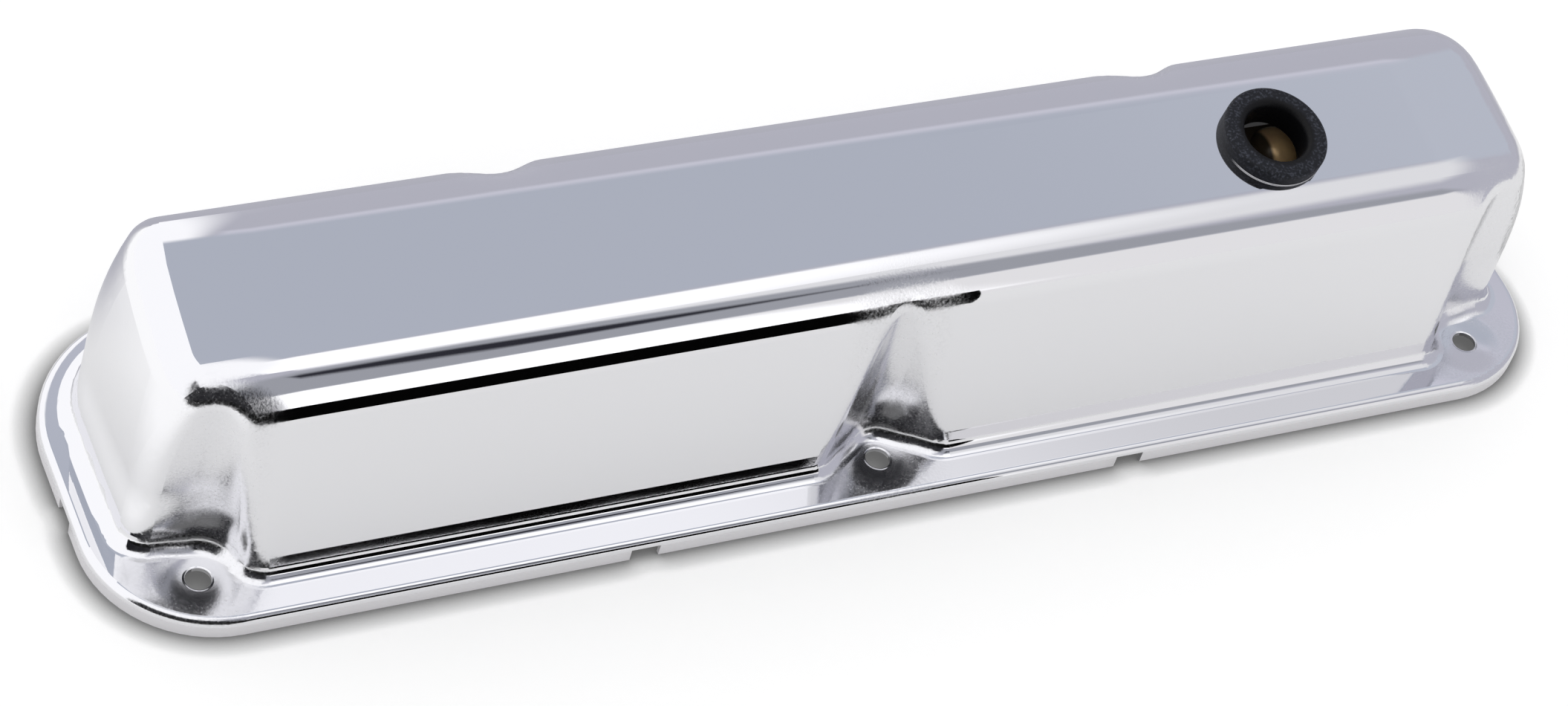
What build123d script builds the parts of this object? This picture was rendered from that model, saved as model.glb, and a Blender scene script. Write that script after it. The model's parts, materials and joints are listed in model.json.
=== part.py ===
from build123d import *
import os
from math import cos, radians, sin, tan

os.makedirs("parts", exist_ok=True)

# Pressed-steel valve cover for a small V8, held by five bolts. All sizes in mm, Z up.
# The cover stands on the edge of its turned-down lip. X runs along the cylinder bank,
# -Y is the low side that faces the viewer and +Y is the ridge side.

# sheet and sealing flange
sheet = 1.2
length = 450.0
width = 110.0
front_corner_r = 35.0
rear_corner_r = 43.0
flange_top = 6.2
lip_bend_r = 2.2

# drawn body: where the walls meet the flange, and how far they lean in (degrees)
front_flange = 11.8
rear_flange = 11.0
end_flange = 10.0
front_foot_y = -width / 2 + front_flange
rear_foot_y = width / 2 - rear_flange
end_foot_x = length / 2 - end_flange
front_draft = 12.0
rear_draft = 6.5
end_draft = 2.5
foot_r = 4.5

# top of the body: a flat face tilted to the front between two large rounded shoulders
face_tilt = 9.5
face_height = 72.3
shoulder_r = 17.0
ridge_r = 21.0

# ends: upright at first, then swelling inwards, with rounded corners in plan
swell_start = 35.0
swell_r = 140.0
end_bulge = 1.6
end_front_r = 20.0
end_rear_r = 30.0
end_edge_r = 10.0
side_gap = 1.3

# bolts: three along the low side, two along the ridge side, each in its own recess
bolt_hole_r = 3.6
corner_bolt = (length / 2 - 26.6, -width / 2 + 15.8)
middle_bolt = (0.0, -width / 2 + 13.5)
rear_bolt = (100.0, width / 2 - 16.5)
scoop_r = 9.8
scoop_splay = 56.0
corner_scoop_r = 11.5
scoop_edge_r = 7.0
corner_rise = 2.5
corner_reach = 30.0
open_scoops = [middle_bolt, rear_bolt, (-rear_bolt[0], rear_bolt[1])]
corner_scoops = [corner_bolt, (-corner_bolt[0], corner_bolt[1])]

# drain notches cut in the lip
notch_width = 8.6
notch_height = flange_top - lip_bend_r
front_notch_x = 75.8
end_notch_y = -8.0

# breather hole in the face, and the push-in rubber grommet
hole_x = length / 2 - 98.8
hole_y = -3.8
hole_r = 12.7
grommet_r = hole_r + 3.0
grommet_rise = 4.4
grommet_below = 3.6
grommet_skirt_r = hole_r + 1.5
grommet_taper = 1.2
bore_r = 9.5
mouth_r = 1.8
rim_r = 1.3

# oil baffle under the breather hole: a bent strip with a tab at each end
baffle_sheet = 0.8
baffle_half = 36.0
baffle_tab = 11.0
baffle_drop = 20.0
baffle_width = 31.0
baffle_shift = 1.2
baffle_bend_r = 2.0
dome_at = (13.5, 7.5)
dome_r = 8.0
dome_rise = 5.5


def section(t):
    """Corners of the drawn body across the cover, moved inwards by t."""
    f = tan(radians(front_draft))
    b = tan(radians(rear_draft))
    s = tan(radians(face_tilt))
    # where each wall and the face would cross z = 0 or y = 0
    front_y = front_foot_y + t / cos(radians(front_draft)) - f * flange_top
    rear_y = rear_foot_y - t / cos(radians(rear_draft)) + b * flange_top
    face_z = face_height - t / cos(radians(face_tilt))
    front_z = (face_z + s * front_y) / (1 - s * f)
    rear_z = (face_z + s * rear_y) / (1 + s * b)
    return (front_y, 0), (front_y + f * front_z, front_z), (rear_y - b * rear_z, rear_z), (rear_y, 0)


def rounded_plan(half_x, y0, y1, front_r, rear_r, z, bulge=0.0):
    """Rectangle with its own corner radii at the front and the rear, at height z."""
    middle = (y0 + y1) / 2
    with BuildSketch(Plane.XY.offset(z)) as plan:
        with BuildLine():
            low = Line((-half_x, y0), (half_x, y0))
            high = Line((half_x, y1), (-half_x, y1))
            if bulge > 0:
                ThreePointArc(low @ 1, (half_x + bulge, middle), high @ 0)
                ThreePointArc(high @ 1, (-half_x - bulge, middle), low @ 0)
            else:
                Line(low @ 1, high @ 0)
                Line(high @ 1, low @ 0)
        make_face()
        fillet(vertices().sort_by(Axis.Y)[:2], front_r)
        fillet(vertices().sort_by(Axis.Y)[-2:], rear_r)
    return plan.sketch


def end_lean(z):
    """How far an end stands inside its foot at height z: a slight draft, then a soft swell."""
    lean = (z - flange_top) * tan(radians(end_draft))
    if z > swell_start:
        lean += (z - swell_start) ** 2 / (2 * swell_r)
    return lean


def end_form(t):
    """Block with rounded, softly swelling ends. Its long sides stay just outside the section."""
    plans = []
    for share in (0.0, 0.28, 0.53, 0.69, 0.86, 1.02, 1.19):
        z = share * face_height
        lean = end_lean(z)
        half_x = end_foot_x - t - lean - end_bulge
        y0 = front_foot_y + t - side_gap + (z - flange_top) * tan(radians(front_draft))
        y1 = rear_foot_y - t + side_gap - lean
        front_r = end_front_r - t
        rear_r = min(end_rear_r - t - 0.6 * lean, y1 - y0 - front_r - end_bulge)
        plans.append(rounded_plan(half_x, y0, y1, front_r, rear_r, z, end_bulge))
    with BuildPart() as block:
        loft(plans)
    return block.part


def flange_plate(t):
    """The flange as a solid plate, rounded over at its outer top edge."""
    half_x = length / 2 - t
    half_y = width / 2 - t
    with BuildPart() as plate:
        with BuildSketch():
            add(rounded_plan(half_x, -half_y, half_y, front_corner_r - t, rear_corner_r - t, 0))
        extrude(amount=flange_top - t)
        fillet(edges().group_by(Axis.Z)[-1], lip_bend_r - t)
    return plate.part


def on_end_loop(e):
    """Edge where an end cuts the drawn section, but no seam within the end itself."""
    if e.geom_type != GeomType.BSPLINE:
        return False
    box = e.bounding_box()
    upright_seam = box.min.Z < 1 and abs(e.position_at(0.5).Y) < width / 4
    return box.max.Z > 1 and not upright_seam


def open_scoop(x, y, r):
    """Recess from above: round behind the bolt, then splayed out to the edge of the flange."""
    inwards = 1 if y < 0 else -1
    a = radians(scoop_splay)
    side_x = r * cos(a)
    side_y = y + inwards * r * sin(a)
    edge_y = -inwards * width / 2
    edge_x = side_x + abs(side_y - edge_y) * tan(a)
    with BuildSketch() as plan:
        with BuildLine():
            wall = Line((x - edge_x, edge_y), (x - side_x, side_y))
            back = ThreePointArc(wall @ 1, (x, y + inwards * r), (x + side_x, side_y))
            Polyline(back @ 1, (x + edge_x, edge_y), wall @ 0)
        make_face()
    return plan.sketch


def corner_scoop(x, y, r):
    """Recess at a corner: round beside the bolt, then out through the end."""
    side = 1 if x > 0 else -1
    with BuildSketch() as plan:
        with BuildLine():
            back = Line((x, y + r), (x + side * corner_reach, y + r + corner_rise))
            Polyline(back @ 1, (x + side * corner_reach, y - r), (x, y - r))
            ThreePointArc((x, y - r), (x - side * r, y), back @ 0)
        make_face()
    return plan.sketch


def on_rim(e):
    """Edge of a recess that runs over the body, but no upright seam and nothing on the ground."""
    box = e.bounding_box()
    upright = box.size.X < 1e-3 and box.size.Y < 1e-3
    return box.max.Z > 1 and not upright


def on_foot(e, t):
    """Edge between the body and the flat of the flange."""
    points = [e.position_at(u) for u in (0, 0.5, 1)]
    level = all(abs(p.Z - flange_top + t) < 1e-3 for p in points)
    middle = points[1]
    edge = t + 2 * lip_bend_r
    inside = abs(middle.X) < length / 2 - edge and abs(middle.Y) < width / 2 - edge
    return level and inside


def pressed_form(t):
    """Solid inside the pressing's outer skin, or inside its inner skin when t is the sheet."""
    ends = end_form(t)
    plate = flange_plate(t)
    front_low, front_high, rear_high, rear_low = section(t)

    with BuildPart() as form:
        # the cross-section drawn out along the cover
        with BuildSketch(Plane.YZ):
            with BuildLine():
                Polyline(front_low, front_high, rear_high, rear_low, close=True)
            make_face()
            fillet(vertices().filter_by(lambda v: v.Y > face_height / 2 and v.X < 0), shoulder_r - t)
            fillet(vertices().filter_by(lambda v: v.Y > face_height / 2 and v.X > 0), ridge_r - t)
        extrude(amount=length / 2, both=True)
        add(ends, mode=Mode.INTERSECT)

        # one radius round each end, from the front foot over the top to the rear foot
        fillet(edges().filter_by(on_end_loop), end_edge_r - t)

        # upright recesses that clear the bolts; the corner ones run out through the ends
        with BuildSketch():
            for x, y in open_scoops:
                add(open_scoop(x, y, scoop_r + t))
            for x, y in corner_scoops:
                add(corner_scoop(x, y, corner_scoop_r + t))
        extrude(amount=2 * face_height, mode=Mode.SUBTRACT)
        fillet(edges(Select.NEW).filter_by(on_rim), scoop_edge_r - t)

        # the flange, blended into the foot of the walls
        add(plate)
        fillet(edges().filter_by(lambda e: on_foot(e, t)), foot_r + t)
    return form.part


face_z = face_height + hole_y * tan(radians(face_tilt))
face_normal = (0, -sin(radians(face_tilt)), cos(radians(face_tilt)))
face_plane = Plane(origin=(hole_x, hole_y, face_z), x_dir=(1, 0, 0), z_dir=face_normal)

outer_skin = pressed_form(0)
inner_skin = pressed_form(sheet)

# the pressing: one sheet, with its holes and lip notches
with BuildPart() as cover_shell:
    add(outer_skin)
    add(inner_skin, mode=Mode.SUBTRACT)
    with BuildSketch():
        with Locations(*open_scoops, *corner_scoops):
            Circle(bolt_hole_r)
    extrude(amount=2 * flange_top, mode=Mode.SUBTRACT)
    with BuildSketch(face_plane.offset(-4 * sheet)):
        Circle(hole_r)
    extrude(amount=8 * sheet, mode=Mode.SUBTRACT)
    with BuildSketch():
        for x in (-front_notch_x, front_notch_x):
            with Locations((x, -width / 2)):
                Rectangle(notch_width, 5 * sheet)
        for x in (-length / 2, length / 2):
            with Locations((x, end_notch_y)):
                Rectangle(5 * sheet, notch_width)
    extrude(amount=notch_height, mode=Mode.SUBTRACT)
cover_shell.part.label = "cover_shell"

# the rubber grommet: rounded collar on the face, neck in the hole, skirt below the sheet
with BuildPart() as grommet:
    with BuildSketch(Plane(face_plane.origin, x_dir=face_plane.x_dir, z_dir=face_plane.y_dir * -1)):
        with BuildLine():
            Polyline(
                (bore_r, grommet_rise),
                (grommet_r, grommet_rise),
                (grommet_r, 0),
                (hole_r, 0),
                (hole_r, -sheet),
                (grommet_skirt_r, -sheet),
                (grommet_skirt_r - grommet_taper, -sheet - grommet_below),
                (bore_r, -sheet - grommet_below),
                close=True,
            )
        make_face()
        fillet(vertices().group_by(Axis.Y)[-1].sort_by(Axis.X)[0], mouth_r)
        fillet(vertices().group_by(Axis.Y)[-1].sort_by(Axis.X)[-1], rim_r)
    revolve(axis=Axis(face_plane.origin, face_plane.z_dir))
grommet.part.label = "grommet"

# the baffle: tab, leg, floor, leg, tab in one bent strip, with a pressed dome on the floor
tab_level = -sheet - baffle_sheet / 2
tab_end = baffle_half + baffle_tab
dome_ball_r = (dome_r ** 2 + dome_rise ** 2) / (2 * dome_rise)
baffle_middle = face_plane.origin + face_plane.y_dir * baffle_shift
baffle_plane = Plane(baffle_middle, x_dir=(1, 0, 0), z_dir=face_plane.y_dir * -1)
floor_plane = face_plane.offset(-baffle_drop)
with BuildPart() as baffle:
    with BuildSketch(baffle_plane):
        with BuildLine():
            strip = FilletPolyline(
                (-tab_end, tab_level),
                (-baffle_half, tab_level),
                (-baffle_half, -baffle_drop),
                (baffle_half, -baffle_drop),
                (baffle_half, tab_level),
                (tab_end, tab_level),
                radius=baffle_bend_r,
            )
            offset(strip, amount=baffle_sheet / 2, side=Side.BOTH)
        make_face()
    extrude(amount=baffle_width / 2, both=True)
    with BuildSketch(floor_plane.offset(-baffle_sheet)):
        with Locations(dome_at):
            Circle(dome_r)
    extrude(amount=2 * baffle_sheet, mode=Mode.SUBTRACT)
    ball_centre = floor_plane.from_local_coords(Vector(*dome_at, dome_rise - dome_ball_r))
    with Locations(ball_centre):
        Sphere(dome_ball_r + baffle_sheet / 2)
        Sphere(dome_ball_r - baffle_sheet / 2, mode=Mode.SUBTRACT)
    split(bisect_by=floor_plane.offset(-baffle_sheet / 2), keep=Keep.TOP)
baffle.part.label = "baffle"

for piece in (cover_shell, grommet, baffle):
    export_step(piece.part, "parts/" + piece.part.label + ".step")
    print(piece.part.label, round(piece.part.volume, 1), piece.part.is_valid, piece.part.bounding_box())
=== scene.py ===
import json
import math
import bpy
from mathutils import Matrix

bl_info = {
    "name": "Pressed valve cover",
    "version": (1, 0, 0),
    "blender": (4, 5, 0),
    "location": "View3D > Sidebar > Valve cover",
    "description": "Finishes a chromed valve cover, its rubber grommet and its oil baffle",
    "category": "Object",
}

import bpy
from mathutils import Matrix, Vector

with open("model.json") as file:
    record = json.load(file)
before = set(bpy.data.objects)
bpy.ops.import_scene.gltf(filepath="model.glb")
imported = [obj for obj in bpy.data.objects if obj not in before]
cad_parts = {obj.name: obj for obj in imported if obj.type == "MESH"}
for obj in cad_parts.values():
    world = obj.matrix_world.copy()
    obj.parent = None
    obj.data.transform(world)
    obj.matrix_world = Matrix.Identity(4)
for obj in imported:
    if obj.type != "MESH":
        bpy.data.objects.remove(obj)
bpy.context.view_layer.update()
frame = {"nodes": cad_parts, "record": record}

# Everything is in metres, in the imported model's own frame: X along the cover, Z up.
SHELL = "cover_shell"
GROMMET = "grommet"
BAFFLE = "baffle"
MOUNTS = {mount["name"]: mount for mount in frame["record"]["mounts"]}
BORE = MOUNTS["breather_bore"]


def bolt_places():
    """Where the bolts are, as (x, y) with x mirrored to the positive side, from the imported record."""
    places = []
    for name in ("corner_bolts", "middle_bolt", "rear_bolts"):
        mount = MOUNTS[name]
        places.append((mount["dims"].get("spacing_x_mm", 0.0) / 2000, mount["pos_m"][1]))
    return places


# The room as bright chrome shows it. Each patch is azimuth from, to (0 is -Y, 90 is +X), elevation
# from, to, softness of its edge, all in degrees, and its colour. Later patches lie over earlier ones.
ROOM_BASE = (1.15, 1.15, 1.17)
ROOM_PATCHES = (
    (12, 166, -90, 90, 8, (0.52, 0.52, 0.59)),
    (120, 162, 42, 58, 5, (0.66, 0.66, 0.75)),
    (110, 184, 48, 76, 8, (0.49, 0.52, 0.60)),
    (102, 126, 22, 54, 8, (0.55, 0.58, 0.66)),
    (44, 106, 50, 66, 8, (0.86, 0.86, 0.88)),
    (44, 106, 62, 82, 8, (1.25, 1.25, 1.27)),
    (10, 46, 32, 62, 6, (0.38, 0.39, 0.43)),
    (30, 38, 46, 58, 4, (0.03, 0.03, 0.04)),
    (14, 44, -90, 32, 3, (0.90, 0.89, 0.90)),
    (14, 27, 4, 32, 3, (1.42, 1.42, 1.43)),
    (-70, 13, -90, 56, 6, (0.012, 0.012, 0.015)),
    (-180, 180, 76, 90, 6, (1.15, 1.15, 1.17)),
)

# The dark board beside the camera: where it hangs, what it faces, its width and height, its shade
BOARD_CENTRE = (-0.18, -0.165, 0.0455)
BOARD_AIM = (-0.18, 0.0, 0.0455)
BOARD_SIZE = (0.54, 0.059)
BOARD_SHADE = 0.002

# The floor, and the spans over which its zones fade in: behind the cover, inboard of the left end
# and beside the left end
FLOOR_SIZE = 6.0
BEHIND_Y = (0.045, 0.10)
INBOARD_X = (-0.30, -0.20)
BESIDE_X = (-0.21, -0.30)
CONTACT_POWER = 3.2

# Where the finishes change on the pieces
LIP_HEIGHT = 0.0042
INNER_EYE = (0.0, 0.0, -0.05)
SEAT_FLOOR_R = 0.003
HOLE_EDGE_R = (0.0036, 0.0043)
HOLE_EDGE_DROP = 0.0002
CROWN_FADE_Z = (0.0075, 0.030)
# heights and front edge of the painted highlight line round the foot of the grommet
GLINT_LOWER = (0.0, 0.00015)
GLINT_UPPER = (0.00045, 0.0003)
GLINT_FRONT_Y = (-0.004, -0.008)
# fades of the painted shade in the grommet's throat, of the baffle's dome, and of the painted lit patch on
# the dome's right flank
THROAT_FADE = 0.0008
DOME_FADE = 0.003
LIT_FLANK_FADE = 0.0012


# Sizes and colours that a user would change


class ChromeSettings(bpy.types.PropertyGroup):
    tint: bpy.props.FloatVectorProperty(
        name="Tint", description="Colour of clean chrome plate", subtype="COLOR", default=(0.82, 0.82, 0.84)
    )
    polish: bpy.props.FloatProperty(
        name="Polish", description="Roughness of the bright plated skin", default=0.02, min=0.0, max=1.0
    )
    haze: bpy.props.FloatProperty(
        name="Haze",
        description="Extra roughness where the plate is thin or worn",
        default=0.045,
        min=0.0, max=1.0,
    )
    recess_roughness: bpy.props.FloatProperty(
        name="Recess roughness",
        description="Roughness where the draw has left a grain",
        default=0.21,
        min=0.0, max=1.0,
    )
    recess_reach: bpy.props.FloatProperty(
        name="Recess reach",
        description="How far from a bolt the drawn grain goes",
        default=0.024, unit="LENGTH",
    )
    seat_dish: bpy.props.FloatProperty(
        name="Seat dish", description="Depth of the dish under a bolt head", default=0.0011, unit="LENGTH"
    )
    seat_reach: bpy.props.FloatProperty(
        name="Seat reach", description="Radius of the dish under a bolt head", default=0.0125, unit="LENGTH"
    )
    lip_roughness: bpy.props.FloatProperty(
        name="Satin roughness",
        description="Roughness of the lip and the inner skin",
        default=0.30,
        min=0.0, max=1.0,
    )
    lip_tint: bpy.props.FloatVectorProperty(
        name="Lip tint", description="Colour of the satin lip", subtype="COLOR", default=(0.77, 0.76, 0.78)
    )
    # the inner skin is darker partly for its duller plate and partly as painted shade under the cover
    inner_tint: bpy.props.FloatVectorProperty(
        name="Inner tint",
        description="Colour of the dull inner skin",
        subtype="COLOR",
        default=(0.34, 0.34, 0.35),
    )
    crown_start: bpy.props.FloatProperty(
        name="Crown start",
        description="Where the skin starts to fall towards an end",
        default=0.174, unit="LENGTH",
    )
    crown_radius: bpy.props.FloatProperty(
        name="Crown radius", description="Radius of that fall", default=0.17, unit="LENGTH"
    )


class RubberSettings(bpy.types.PropertyGroup):
    shade: bpy.props.FloatVectorProperty(
        name="Shade",
        description="Colour of the moulded rubber",
        subtype="COLOR",
        default=(0.008, 0.009, 0.013),
    )
    # painted highlight: a pale line that stands in for the glint in the crevice under the collar
    seam: bpy.props.FloatVectorProperty(
        name="Seam",
        description="Pale line where the collar meets the plate",
        subtype="COLOR",
        default=(0.75, 0.75, 0.78),
    )
    bore_sink: bpy.props.FloatProperty(
        name="Bore sink",
        description="How far the middle of the bore lies under the plate",
        default=0.0011, unit="LENGTH",
    )
    collar: bpy.props.FloatProperty(
        name="Collar", description="Height of the collar above the plate", default=0.0044, unit="LENGTH"
    )
    speckle: bpy.props.FloatVectorProperty(
        name="Speckle",
        description="Colour of the dust in its pores",
        subtype="COLOR",
        default=(0.055, 0.06, 0.08),
    )
    # painted shade: inside this radius the rubber has no dust and is painted near black as the shade in the
    # bore
    throat: bpy.props.FloatProperty(
        name="Throat",
        description="Radius inside which the rubber is clean and black",
        default=0.0116, unit="LENGTH",
    )
    throat_shade: bpy.props.FloatVectorProperty(
        name="Throat shade",
        description="Colour of the rubber in the bore",
        subtype="COLOR",
        default=(0.002, 0.002, 0.003),
    )
    sheen: bpy.props.FloatProperty(
        name="Sheen", description="Strength of the rubber's reflections", default=0.22, min=0.0, max=1.0
    )
    roughness: bpy.props.FloatProperty(
        name="Roughness", description="Roughness of the rubber", default=0.55, min=0.0, max=1.0
    )


class ZincSettings(bpy.types.PropertyGroup):
    gold: bpy.props.FloatVectorProperty(
        name="Gold",
        description="Main colour of the yellow zinc plate",
        subtype="COLOR",
        default=(1.0, 0.70, 0.33),
    )
    rose: bpy.props.FloatVectorProperty(
        name="Rose",
        description="Second colour that drifts through the plate",
        subtype="COLOR",
        default=(0.58, 0.36, 0.20),
    )
    # painted shade: this colour darkens the baffle floor and the dome outside its lit patch
    unlit_shade: bpy.props.FloatVectorProperty(
        name="Unlit",
        description="Colour of the oil-darkened floor round the dome",
        subtype="COLOR",
        default=(0.05, 0.035, 0.02),
    )
    # painted highlight: right of this line the dome keeps its plate colour as a painted lit patch
    lit_flank_from: bpy.props.FloatProperty(
        name="Lit from",
        description="How far right of the bore clean plate starts",
        default=0.0088, unit="LENGTH",
    )
    floor_depth: bpy.props.FloatProperty(
        name="Floor depth",
        description="Baffle floor under the middle of the bore",
        default=0.0185, unit="LENGTH",
    )
    roughness: bpy.props.FloatProperty(
        name="Roughness", description="Roughness of the plated sheet", default=0.32, min=0.0, max=1.0
    )


class StudioSettings(bpy.types.PropertyGroup):
    lens: bpy.props.FloatProperty(
        name="Lens", description="Focal length of the camera in mm", default=96.3, min=10.0
    )
    distance: bpy.props.FloatProperty(
        name="Distance", description="Camera to its aim point", default=1.19324, unit="LENGTH"
    )
    azimuth: bpy.props.FloatProperty(
        name="Azimuth",
        description="Turn of the camera about Z",
        default=math.radians(-36.4), subtype="ANGLE",
    )
    elevation: bpy.props.FloatProperty(
        name="Elevation",
        description="Height of the camera as an angle",
        default=math.radians(46.67), subtype="ANGLE",
    )
    roll: bpy.props.FloatProperty(
        name="Roll",
        description="Turn of the camera about its own axis",
        default=math.radians(18.3), subtype="ANGLE",
    )
    aim: bpy.props.FloatVectorProperty(
        name="Aim",
        description="Point that the camera looks at",
        default=(-0.01189, 0.0, 0.00717), subtype="TRANSLATION",
    )
    floor_shade: bpy.props.FloatProperty(
        name="Floor shade", description="Brightness of the paper floor", default=0.80, min=0.0, max=1.0
    )
    seen_shade: bpy.props.FloatProperty(
        name="Seen shade",
        description="Brightness of the floor that the camera sees",
        default=0.97,
        min=0.0, max=1.0,
    )
    contact_reach: bpy.props.FloatProperty(
        name="Contact reach", description="Width of the dark contact shadow", default=0.0075, unit="LENGTH"
    )
    floor_lift: bpy.props.FloatProperty(
        name="Floor lift",
        description="Light added to the floor that the camera sees",
        default=0.11,
        min=0.0,
    )
    floor_glow: bpy.props.FloatProperty(
        name="Floor glow",
        description="Light added to the floor that the chrome mirrors",
        default=0.10,
        min=0.0,
    )
    end_glow: bpy.props.FloatProperty(
        name="End glow", description="Light added to the floor beside the left end", default=0.26, min=0.0
    )
    back_shade: bpy.props.FloatVectorProperty(
        name="Back shade",
        description="Floor behind the ridge, as the chrome mirrors it",
        subtype="COLOR",
        default=(0.50, 0.50, 0.56),
    )
    world_level: bpy.props.FloatProperty(
        name="Room level", description="Brightness of the room around the set", default=1.0, min=0.0
    )


# Node groups and the small node helpers that build them


def new_group(name, inputs, outputs):
    """Empty node group with the named sockets, each (name, socket type, default)."""
    group = bpy.data.node_groups.new(name, "ShaderNodeTree")
    for label, kind, value in inputs:
        socket = group.interface.new_socket(name=label, in_out="INPUT", socket_type=kind)
        if value is not None:
            socket.default_value = value
    for label, kind in outputs:
        group.interface.new_socket(name=label, in_out="OUTPUT", socket_type=kind)
    group.nodes.new("NodeGroupInput").location = (-900, 0)
    group.nodes.new("NodeGroupOutput").location = (600, 0)
    return group


def grain_group():
    """Fine grain and slow clouding over a surface, in object space."""
    group = new_group(
        "surface_grain",
        [
            ("Grain Scale", "NodeSocketFloat", 3000.0),
            ("Cloud Scale", "NodeSocketFloat", 40.0),
            ("Cloud Low", "NodeSocketFloat", 0.4),
            ("Cloud High", "NodeSocketFloat", 0.7),
        ],
        [("Grain", "NodeSocketFloat"), ("Cloud", "NodeSocketFloat")],
    )
    nodes, links = group.nodes, group.links
    source = nodes["Group Input"]
    result = nodes["Group Output"]
    place = nodes.new("ShaderNodeTexCoord")
    fine = nodes.new("ShaderNodeTexNoise")
    fine.inputs["Detail"].default_value = 4.0
    slow = nodes.new("ShaderNodeTexNoise")
    slow.inputs["Detail"].default_value = 5.0
    ramp = nodes.new("ShaderNodeMapRange")
    links.new(place.outputs["Object"], fine.inputs["Vector"])
    links.new(place.outputs["Object"], slow.inputs["Vector"])
    links.new(source.outputs["Grain Scale"], fine.inputs["Scale"])
    links.new(source.outputs["Cloud Scale"], slow.inputs["Scale"])
    links.new(slow.outputs["Fac"], ramp.inputs["Value"])
    links.new(source.outputs["Cloud Low"], ramp.inputs["From Min"])
    links.new(source.outputs["Cloud High"], ramp.inputs["From Max"])
    links.new(fine.outputs["Fac"], result.inputs["Grain"])
    links.new(ramp.outputs["Result"], result.inputs["Cloud"])
    return group


def feed(tree, socket, value):
    """Links an input to another socket, or sets it to a plain value."""
    if isinstance(value, bpy.types.NodeSocket):
        tree.links.new(value, socket)
    else:
        socket.default_value = value


def math_node(tree, operation, first, second=None):
    """Math node in a tree. Each operand is a socket or a plain number."""
    node = tree.nodes.new("ShaderNodeMath")
    node.operation = operation
    for slot, value in zip(node.inputs, (first, second)):
        if value is not None:
            feed(tree, slot, value)
    return node.outputs[0]


def product(tree, first, *others):
    """Product of two or more sockets or numbers."""
    for other in others:
        first = math_node(tree, "MULTIPLY", first, other)
    return first


def vector_node(tree, operation, first, second=None):
    """Vector math node in a tree. Each operand is a socket or a plain vector."""
    node = tree.nodes.new("ShaderNodeVectorMath")
    node.operation = operation
    for slot, value in zip(node.inputs, (first, second)):
        if value is not None:
            feed(tree, slot, value)
    return node.outputs


def compass_group():
    """Azimuth from -Y towards +X, and elevation, in degrees, of a direction."""
    group = new_group(
        "room_compass",
        [("Direction", "NodeSocketVector", None)],
        [("Azimuth", "NodeSocketFloat"), ("Elevation", "NodeSocketFloat")],
    )
    split = group.nodes.new("ShaderNodeSeparateXYZ")
    group.links.new(group.nodes["Group Input"].outputs["Direction"], split.inputs[0])
    x, y, z = split.outputs
    azimuth = math_node(group, "ARCTAN2", x, math_node(group, "MULTIPLY", y, -1.0))
    elevation = math_node(group, "ARCSINE", z)
    result = group.nodes["Group Output"]
    group.links.new(math_node(group, "DEGREES", azimuth), result.inputs["Azimuth"])
    group.links.new(math_node(group, "DEGREES", elevation), result.inputs["Elevation"])
    return group


def patch_group():
    """Soft-edged panel of the room between two azimuths and two elevations."""
    group = new_group(
        "room_patch",
        [
            ("Azimuth", "NodeSocketFloat", 0.0),
            ("Elevation", "NodeSocketFloat", 0.0),
            ("Az From", "NodeSocketFloat", 0.0),
            ("Az To", "NodeSocketFloat", 0.0),
            ("El From", "NodeSocketFloat", 0.0),
            ("El To", "NodeSocketFloat", 0.0),
            ("Softness", "NodeSocketFloat", 1.0),
        ],
        [("Mask", "NodeSocketFloat")],
    )
    source = group.nodes["Group Input"].outputs
    mask = None
    for angle, low, high in (("Azimuth", "Az From", "Az To"), ("Elevation", "El From", "El To")):
        inside_low = math_node(group, "SUBTRACT", source[angle], source[low])
        inside_high = math_node(group, "SUBTRACT", source[high], source[angle])
        depth = math_node(group, "MINIMUM", inside_low, inside_high)
        mask = depth if mask is None else math_node(group, "MINIMUM", mask, depth)
    edge = group.nodes.new("ShaderNodeMapRange")
    edge.interpolation_type = "SMOOTHSTEP"
    group.links.new(mask, edge.inputs["Value"])
    group.links.new(math_node(group, "MULTIPLY", source["Softness"], -0.5), edge.inputs["From Min"])
    group.links.new(math_node(group, "MULTIPLY", source["Softness"], 0.5), edge.inputs["From Max"])
    group.links.new(edge.outputs["Result"], group.nodes["Group Output"].inputs["Mask"])
    return group


def seat_group():
    """Distance in plan from a point of the object to its nearest bolt, in metres."""
    group = new_group("bolt_seats", [], [("Distance", "NodeSocketFloat")])
    nodes, links = group.nodes, group.links
    place = nodes.new("ShaderNodeTexCoord")
    split = nodes.new("ShaderNodeSeparateXYZ")
    links.new(place.outputs["Object"], split.inputs[0])
    mirrored = math_node(group, "ABSOLUTE", split.outputs["X"])
    nearest = None
    for x, y in bolt_places():
        across = math_node(group, "SUBTRACT", mirrored, x)
        along = math_node(group, "SUBTRACT", split.outputs["Y"], y)
        squared = math_node(group, "ADD", product(group, across, across), product(group, along, along))
        away = math_node(group, "SQRT", squared)
        nearest = away if nearest is None else math_node(group, "MINIMUM", nearest, away)
    links.new(nearest, nodes["Group Output"].inputs["Distance"])
    return group


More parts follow.
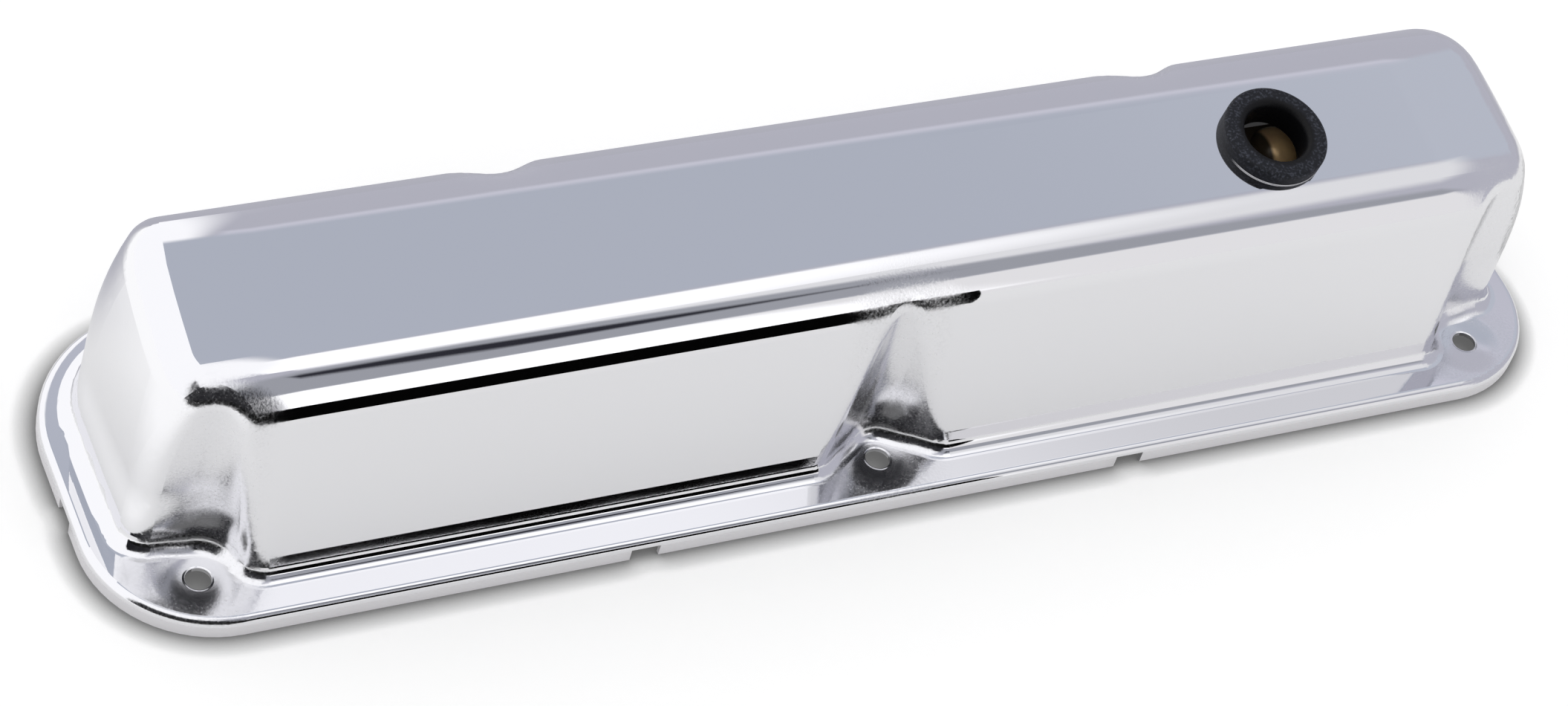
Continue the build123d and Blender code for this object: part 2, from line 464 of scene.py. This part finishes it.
def skin_group():
    """Masks of a pressing: its lip close to the ground, and its inner skin."""
    group = new_group("pressing_skin", [], [("Lip", "NodeSocketFloat"), ("Inside", "NodeSocketFloat")])
    nodes, links = group.nodes, group.links
    place = nodes.new("ShaderNodeTexCoord")
    split = nodes.new("ShaderNodeSeparateXYZ")
    links.new(place.outputs["Object"], split.inputs[0])
    lip = spread(group, split.outputs["Z"], LIP_HEIGHT, 0.8 * LIP_HEIGHT, smooth=True)
    # seen from a point under the middle of the cover, the outer skin faces away and the inner one faces it
    sight = vector_node(group, "SUBTRACT", place.outputs["Object"], INNER_EYE)["Vector"]
    facing = vector_node(group, "DOT_PRODUCT", place.outputs["Normal"], sight)["Value"]
    links.new(lip, nodes["Group Output"].inputs["Lip"])
    links.new(math_node(group, "LESS_THAN", facing, 0.0), nodes["Group Output"].inputs["Inside"])
    return group


def group_node(tree, group, **values):
    """A shared group placed in a material with its own values."""
    node = tree.nodes.new("ShaderNodeGroup")
    node.node_tree = group
    for label, value in values.items():
        node.inputs[label.replace("_", " ")].default_value = value
    return node


def blank_material(name):
    """New node material and its shader."""
    material = bpy.data.materials.new(name)
    material.use_nodes = True
    return material, material.node_tree, material.node_tree.nodes["Principled BSDF"]


# Finishes


def blend(tree, mask, first, second):
    """Mix of two numbers or sockets by a mask."""
    node = tree.nodes.new("ShaderNodeMix")
    node.data_type = "FLOAT"
    for slot, value in (("Factor", mask), ("A", first), ("B", second)):
        feed(tree, node.inputs[slot], value)
    return node.outputs["Result"]


def tinted(tree, mask, first, second):
    """Mix of two colours or sockets by a mask."""
    node = tree.nodes.new("ShaderNodeMix")
    node.data_type = "RGBA"
    feed(tree, node.inputs["Factor"], mask)
    for slot, value in (("A", first), ("B", second)):
        feed(tree, node.inputs[slot], value if isinstance(value, bpy.types.NodeSocket) else (*value, 1.0))
    return node.outputs["Result"]


def spread(tree, value, low, high, to_low=0.0, to_high=1.0, smooth=False):
    """A value's range stretched onto another one, clamped at both ends."""
    node = tree.nodes.new("ShaderNodeMapRange")
    node.interpolation_type = "SMOOTHSTEP" if smooth else "LINEAR"
    node.inputs["From Min"].default_value = low
    node.inputs["From Max"].default_value = high
    node.inputs["To Min"].default_value = to_low
    node.inputs["To Max"].default_value = to_high
    tree.links.new(value, node.inputs["Value"])
    return node.outputs["Result"]


def raised(tree, height, distance, strength, under=None):
    """Bump from a height socket, over another bump where one is given."""
    node = tree.nodes.new("ShaderNodeBump")
    node.inputs["Distance"].default_value = distance
    node.inputs["Strength"].default_value = strength
    tree.links.new(height, node.inputs["Height"])
    if under is not None:
        tree.links.new(under, node.inputs["Normal"])
    return node.outputs["Normal"]


def chrome_material(look, grain):
    """Bright chrome: mirror on the walls, grainy in the drawn recesses, satin on the lip, dull and darker
    inside, partly a duller plate and partly painted shade.
    """
    material, tree, shader = blank_material("chrome_plate_bright")
    nodes, links = tree.nodes, tree.links
    shader.inputs["Metallic"].default_value = 1.0
    spots = group_node(tree, grain, Grain_Scale=1500.0, Cloud_Scale=26.0, Cloud_Low=0.45, Cloud_High=0.75)
    skin = group_node(tree, skin_group())
    away = group_node(tree, seat_group()).outputs["Distance"]
    recess = spread(tree, away, look.recess_reach, 0.55 * look.recess_reach, smooth=True)
    satin = math_node(tree, "MAXIMUM", skin.outputs["Lip"], skin.outputs["Inside"])

    # roughness: clouded polish, then the grainy recesses with smoother seats, then the satin skin
    polish = spread(tree, spots.outputs["Cloud"], 0.0, 1.0, look.polish, look.haze)
    coarse = look.recess_roughness
    drawn = spread(tree, spots.outputs["Grain"], 0.35, 0.7, 0.6 * coarse, 1.4 * coarse)
    seat = spread(tree, away, 0.75 * look.seat_reach, 0.5 * look.seat_reach, smooth=True)
    drawn = blend(tree, seat, drawn, 0.5 * coarse)
    rough = blend(tree, recess, polish, drawn)
    rough = blend(tree, satin, rough, look.lip_roughness)
    links.new(rough, shader.inputs["Roughness"])

    # colour: the satin lip is a little darker than the mirror, and the inner skin much darker, partly a
    # duller plate and partly painted shade under the cover
    colour = tinted(tree, skin.outputs["Lip"], look.tint, look.lip_tint)
    colour = tinted(tree, skin.outputs["Inside"], colour, look.inner_tint)
    links.new(colour, shader.inputs["Base Color"])

    # relief: a slow wave in the sheet, the dish under each bolt head, the rolled edge of its hole,
    # the fall of the top towards its ends and the grain of the draw
    place = nodes.new("ShaderNodeTexCoord")
    wave = nodes.new("ShaderNodeTexNoise")
    wave.inputs["Scale"].default_value = 12.0
    wave.inputs["Detail"].default_value = 1.0
    links.new(place.outputs["Object"], wave.inputs["Vector"])
    relief = raised(tree, wave.outputs["Fac"], 0.0006, 0.05)
    dish = spread(tree, away, SEAT_FLOOR_R, look.seat_reach, -look.seat_dish, 0.0, smooth=True)
    edge = spread(tree, away, *HOLE_EDGE_R, -HOLE_EDGE_DROP, 0.0, smooth=True)
    split = nodes.new("ShaderNodeSeparateXYZ")
    links.new(place.outputs["Object"], split.inputs[0])
    past = math_node(tree, "SUBTRACT", math_node(tree, "ABSOLUTE", split.outputs["X"]), look.crown_start)
    past = math_node(tree, "MAXIMUM", past, 0.0)
    upper = spread(tree, split.outputs["Z"], *CROWN_FADE_Z, smooth=True)
    fall = product(tree, past, past, -0.5 / look.crown_radius, upper)
    form = math_node(tree, "ADD", math_node(tree, "ADD", dish, edge), fall)
    relief = raised(tree, form, 1.0, 1.0, relief)
    worked = math_node(tree, "MAXIMUM", recess, satin)
    pits = product(tree, spots.outputs["Grain"], spread(tree, worked, 0.0, 1.0, 0.03, 1.0))
    relief = raised(tree, pits, 0.00006, 0.35, relief)
    links.new(relief, shader.inputs["Normal"])
    return material


def along_bore(tree, place):
    """Height of a place along the axis of the breather bore."""
    return vector_node(tree, "DOT_PRODUCT", place, BORE["axis"])["Value"]


def rubber_material(look, grain):
    """Matt moulded rubber: painted shade in the bore, pale dust in its pores with a painted highlight on
    the top of the collar, a painted highlight line at the plate.
    """
    material, tree, shader = blank_material("grommet_rubber_matt")
    nodes, links = tree.nodes, tree.links
    shader.inputs["Roughness"].default_value = look.roughness
    shader.inputs["Specular IOR Level"].default_value = look.sheen
    spots = group_node(tree, grain, Grain_Scale=1300.0, Cloud_Scale=150.0, Cloud_Low=0.4, Cloud_High=0.7)
    place = nodes.new("ShaderNodeTexCoord").outputs["Object"]
    plate_level = Vector(BORE["pos_m"]).dot(Vector(BORE["axis"])) + look.bore_sink
    above = math_node(tree, "SUBTRACT", along_bore(tree, place), plate_level)
    apart = vector_node(tree, "SUBTRACT", place, BORE["pos_m"])["Vector"]
    across = vector_node(tree, "CROSS_PRODUCT", apart, BORE["axis"])["Vector"]
    radius = vector_node(tree, "LENGTH", across)["Value"]
    split = nodes.new("ShaderNodeSeparateXYZ")
    links.new(apart, split.inputs[0])

    # dust on the crown of the collar, paler towards its top, partly dust and partly a painted highlight
    # from the room above; in the throat no dust, and the rubber is painted near black as the shade in the
    # bore
    dust = spread(tree, spots.outputs["Grain"], 0.50, 0.74)
    crown = spread(tree, above, 0.3 * look.collar, 0.95 * look.collar, 0.3, 1.0)
    colour = tinted(tree, product(tree, dust, crown), look.shade, look.speckle)
    throat = spread(tree, radius, look.throat + THROAT_FADE, look.throat - THROAT_FADE, smooth=True)
    colour = tinted(tree, throat, colour, look.throat_shade)

    # a painted highlight line, standing in for the glint in the crevice, runs round the front of the
    # collar, just above the plate
    line = product(
        tree,
        spread(tree, above, *GLINT_LOWER),
        spread(tree, above, *GLINT_UPPER),
        spread(tree, radius, look.throat, look.throat + 0.001),
        spread(tree, split.outputs["Y"], *GLINT_FRONT_Y),
    )
    links.new(tinted(tree, line, colour, look.seam), shader.inputs["Base Color"])
    links.new(raised(tree, spots.outputs["Grain"], 0.00012, 0.6), shader.inputs["Normal"])
    return material


def zinc_material(look, grain):
    """Yellow zinc plate that drifts to rose, with painted shade over all of it except the right flank of
    the dome, which shows the plate as a painted lit patch.
    """
    material, tree, shader = blank_material("yellow_zinc_plate")
    nodes, links = tree.nodes, tree.links
    shader.inputs["Metallic"].default_value = 0.3
    spots = group_node(tree, grain, Grain_Scale=1500.0, Cloud_Scale=70.0, Cloud_Low=0.35, Cloud_High=0.7)
    place = nodes.new("ShaderNodeTexCoord").outputs["Object"]
    split = nodes.new("ShaderNodeSeparateXYZ")
    links.new(place, split.inputs[0])
    # painted light: plate colour only on the right flank of the dome as a lit patch, painted shade on the
    # floor and the rest of the dome
    floor_level = Vector(BORE["pos_m"]).dot(Vector(BORE["axis"])) - look.floor_depth
    dome = spread(tree, along_bore(tree, place), floor_level, floor_level + DOME_FADE, smooth=True)
    flank_x = BORE["pos_m"][0] + look.lit_flank_from
    flank = spread(tree, split.outputs["X"], flank_x, flank_x + LIT_FLANK_FADE, smooth=True)
    plate = tinted(tree, spots.outputs["Cloud"], look.gold, look.rose)
    links.new(tinted(tree, product(tree, dome, flank), look.unlit_shade, plate), shader.inputs["Base Color"])
    rough = spread(tree, spots.outputs["Grain"], 0.0, 1.0, look.roughness - 0.08, look.roughness + 0.10)
    links.new(rough, shader.inputs["Roughness"])
    links.new(raised(tree, spots.outputs["Grain"], 0.00005, 0.3), shader.inputs["Normal"])
    return material


def paint_node(name, material):
    """Gives a CAD node its finish."""
    for slot in frame["nodes"][name].material_slots:
        slot.material = material


def shared_grain():
    """The grain group, made once."""
    return bpy.data.node_groups.get("surface_grain") or grain_group()


# One operator for each piece and one for the stage


class VALVECOVER_OT_finish_shell(bpy.types.Operator):
    """Plates the pressed shell in bright chrome"""

    bl_idname = "valvecover.finish_shell"
    bl_label = "Finish the shell"

    def execute(self, context):
        paint_node(SHELL, chrome_material(context.scene.cover_chrome, shared_grain()))
        return {"FINISHED"}


class VALVECOVER_OT_finish_grommet(bpy.types.Operator):
    """Gives the grommet its matt rubber"""

    bl_idname = "valvecover.finish_grommet"
    bl_label = "Finish the grommet"

    def execute(self, context):
        paint_node(GROMMET, rubber_material(context.scene.cover_rubber, shared_grain()))
        return {"FINISHED"}


class VALVECOVER_OT_finish_baffle(bpy.types.Operator):
    """Plates the oil baffle in yellow zinc"""

    bl_idname = "valvecover.finish_baffle"
    bl_label = "Finish the baffle"

    def execute(self, context):
        paint_node(BAFFLE, zinc_material(context.scene.cover_zinc, shared_grain()))
        return {"FINISHED"}


def dark_card(name, centre, aim, width, height):
    """Flat black card of the set that only reflections see."""
    material = bpy.data.materials.new(name + "_face")
    material.use_nodes = True
    nodes = material.node_tree.nodes
    nodes.clear()
    out = nodes.new("ShaderNodeOutputMaterial")
    face = nodes.new("ShaderNodeBsdfDiffuse")
    face.inputs["Color"].default_value = (BOARD_SHADE, BOARD_SHADE, BOARD_SHADE, 1.0)
    material.node_tree.links.new(face.outputs[0], out.inputs["Surface"])
    bpy.ops.object.select_all(action="DESELECT")
    bpy.ops.mesh.primitive_plane_add(size=1.0)
    panel = bpy.context.object
    panel.name = name
    direction = (Vector(aim) - Vector(centre)).to_track_quat("Z", "Y")
    stretch = Matrix.Diagonal((width, height, 1.0, 1.0))
    panel.data.transform(Matrix.Translation(centre) @ direction.to_matrix().to_4x4() @ stretch)
    panel.data.materials.append(material)
    panel.visible_camera = False
    panel.visible_diffuse = False
    panel.visible_shadow = False
    return panel


class VALVECOVER_OT_set_stage(bpy.types.Operator):
    """Builds the floor, the room, the dark board and the camera"""

    bl_idname = "valvecover.set_stage"
    bl_label = "Set the stage"

    def execute(self, context):
        studio = context.scene.cover_studio
        bpy.ops.object.select_all(action="DESELECT")
        bpy.ops.mesh.primitive_plane_add(size=FLOOR_SIZE)
        floor = context.object
        floor.name = "paper_floor"
        floor.data.materials.append(self.paper(studio))
        self.room(context, studio)
        dark_card("dark_board", BOARD_CENTRE, BOARD_AIM, *BOARD_SIZE)
        self.camera(context, studio)
        return {"FINISHED"}

    def paper(self, studio):
        """White to the camera and in reflections, with the object's shadow kept."""
        material, tree, shader = blank_material("paper_floor_face")
        nodes, links = tree.nodes, tree.links
        shader.inputs["Roughness"].default_value = 1.0
        shader.inputs["Specular IOR Level"].default_value = 0.0
        rays = nodes.new("ShaderNodeLightPath")
        place = nodes.new("ShaderNodeTexCoord")
        split = nodes.new("ShaderNodeSeparateXYZ")
        links.new(place.outputs["Object"], split.inputs[0])
        behind = product(
            tree,
            spread(tree, split.outputs["Y"], *BEHIND_Y, smooth=True),
            spread(tree, split.outputs["X"], *INBOARD_X, smooth=True),
        )
        beside = spread(tree, split.outputs["X"], *BESIDE_X, smooth=True)
        to_chrome = rays.outputs["Is Glossy Ray"]
        to_camera = rays.outputs["Is Camera Ray"]

        # the chrome sees the floor brighter at the left end and as grey paper behind the ridge
        glow = math_node(tree, "ADD", product(tree, beside, studio.end_glow), studio.floor_glow)
        glow = product(tree, to_chrome, glow, spread(tree, behind, 0.0, 1.0, 1.0, 0.0))
        lift = product(tree, to_camera, studio.floor_lift)
        links.new(math_node(tree, "ADD", lift, glow), shader.inputs["Emission Strength"])
        shader.inputs["Emission Color"].default_value = (1.0, 1.0, 1.0, 1.0)

        # the camera sees nearly white paper with a dark contact shadow along the lip
        near = nodes.new("ShaderNodeAmbientOcclusion")
        near.inputs["Distance"].default_value = studio.contact_reach
        contact = math_node(tree, "POWER", near.outputs["AO"], CONTACT_POWER)
        seen = tinted(tree, contact, (0.0, 0.0, 0.0), (studio.seen_shade,) * 3)
        paper = tinted(tree, to_camera, (studio.floor_shade,) * 3, seen)
        paper = tinted(tree, product(tree, to_chrome, behind), paper, studio.back_shade)
        links.new(paper, shader.inputs["Base Color"])
        return material

    def room(self, context, studio):
        """Light tent: white at the left and overhead, greyer at the right, dark behind the camera."""
        world = bpy.data.worlds.new("studio_room")
        world.use_nodes = True
        context.scene.world = world
        tree = world.node_tree
        nodes, links = tree.nodes, tree.links
        place = nodes.new("ShaderNodeTexCoord")
        compass = group_node(tree, compass_group())
        links.new(place.outputs["Generated"], compass.inputs["Direction"])
        patch = patch_group()
        mirrored = ROOM_BASE
        for az_from, az_to, el_from, el_to, soft, colour in ROOM_PATCHES:
            mask = group_node(
                tree, patch, Az_From=az_from, Az_To=az_to, El_From=el_from, El_To=el_to, Softness=soft
            )
            links.new(compass.outputs["Azimuth"], mask.inputs["Azimuth"])
            links.new(compass.outputs["Elevation"], mask.inputs["Elevation"])
            mirrored = tinted(tree, mask.outputs["Mask"], mirrored, colour)

        # only reflections see the patches: everything else is lit by an even white room
        rays = nodes.new("ShaderNodeLightPath")
        room = tinted(tree, rays.outputs["Is Glossy Ray"], (1.0, 1.0, 1.0), mirrored)
        links.new(room, nodes["Background"].inputs["Color"])
        nodes["Background"].inputs["Strength"].default_value = studio.world_level

    def camera(self, context, studio):
        """Camera on a sphere round its aim, rolled about its own axis, as solved from the photo."""
        a, e, r = studio.azimuth, studio.elevation, studio.roll
        back = Vector((math.sin(a) * math.cos(e), -math.cos(a) * math.cos(e), math.sin(e)))
        right = Vector((math.cos(a), math.sin(a), 0.0))
        up = back.cross(right)
        right_rolled = right * math.cos(r) + up * math.sin(r)
        up_rolled = up * math.cos(r) - right * math.sin(r)
        place = Vector(studio.aim) + back * studio.distance
        bpy.ops.object.camera_add(location=place)
        cam = context.object
        cam.name = "photo_camera"
        turn = Matrix((right_rolled, up_rolled, back)).transposed()
        cam.rotation_euler = turn.to_euler()
        cam.data.sensor_width = 36.0
        cam.data.lens = studio.lens
        cam.data.clip_start = 0.01
        context.scene.camera = cam
        context.scene.view_settings.view_transform = "Standard"


class VALVECOVER_PT_tools(bpy.types.Panel):
    """Shows the settings of the finishes and the stage, and a button for each step"""

    bl_label = "Valve cover"
    bl_idname = "VALVECOVER_PT_tools"
    bl_space_type = "VIEW_3D"
    bl_region_type = "UI"
    bl_category = "Valve cover"

    def draw(self, context):
        scene = context.scene
        for settings in (scene.cover_chrome, scene.cover_rubber, scene.cover_zinc, scene.cover_studio):
            box = self.layout.box()
            for name in settings.bl_rna.properties.keys():
                if name not in {"rna_type", "name"}:
                    box.prop(settings, name)
        for step in STEPS:
            self.layout.operator(step)


STEPS = (
    "valvecover.finish_shell",
    "valvecover.finish_grommet",
    "valvecover.finish_baffle",
    "valvecover.set_stage",
)

CLASSES = (
    ChromeSettings,
    RubberSettings,
    ZincSettings,
    StudioSettings,
    VALVECOVER_OT_finish_shell,
    VALVECOVER_OT_finish_grommet,
    VALVECOVER_OT_finish_baffle,
    VALVECOVER_OT_set_stage,
    VALVECOVER_PT_tools,
)


def register():
    for cls in CLASSES:
        bpy.utils.register_class(cls)
    bpy.types.Scene.cover_chrome = bpy.props.PointerProperty(type=ChromeSettings)
    bpy.types.Scene.cover_rubber = bpy.props.PointerProperty(type=RubberSettings)
    bpy.types.Scene.cover_zinc = bpy.props.PointerProperty(type=ZincSettings)
    bpy.types.Scene.cover_studio = bpy.props.PointerProperty(type=StudioSettings)


def unregister():
    for name in ("cover_studio", "cover_zinc", "cover_rubber", "cover_chrome"):
        delattr(bpy.types.Scene, name)
    for cls in reversed(CLASSES):
        bpy.utils.unregister_class(cls)


def main():
    register()
    bpy.ops.valvecover.finish_shell()
    bpy.ops.valvecover.finish_grommet()
    bpy.ops.valvecover.finish_baffle()
    bpy.ops.valvecover.set_stage()


if __name__ == "__main__":
    main()
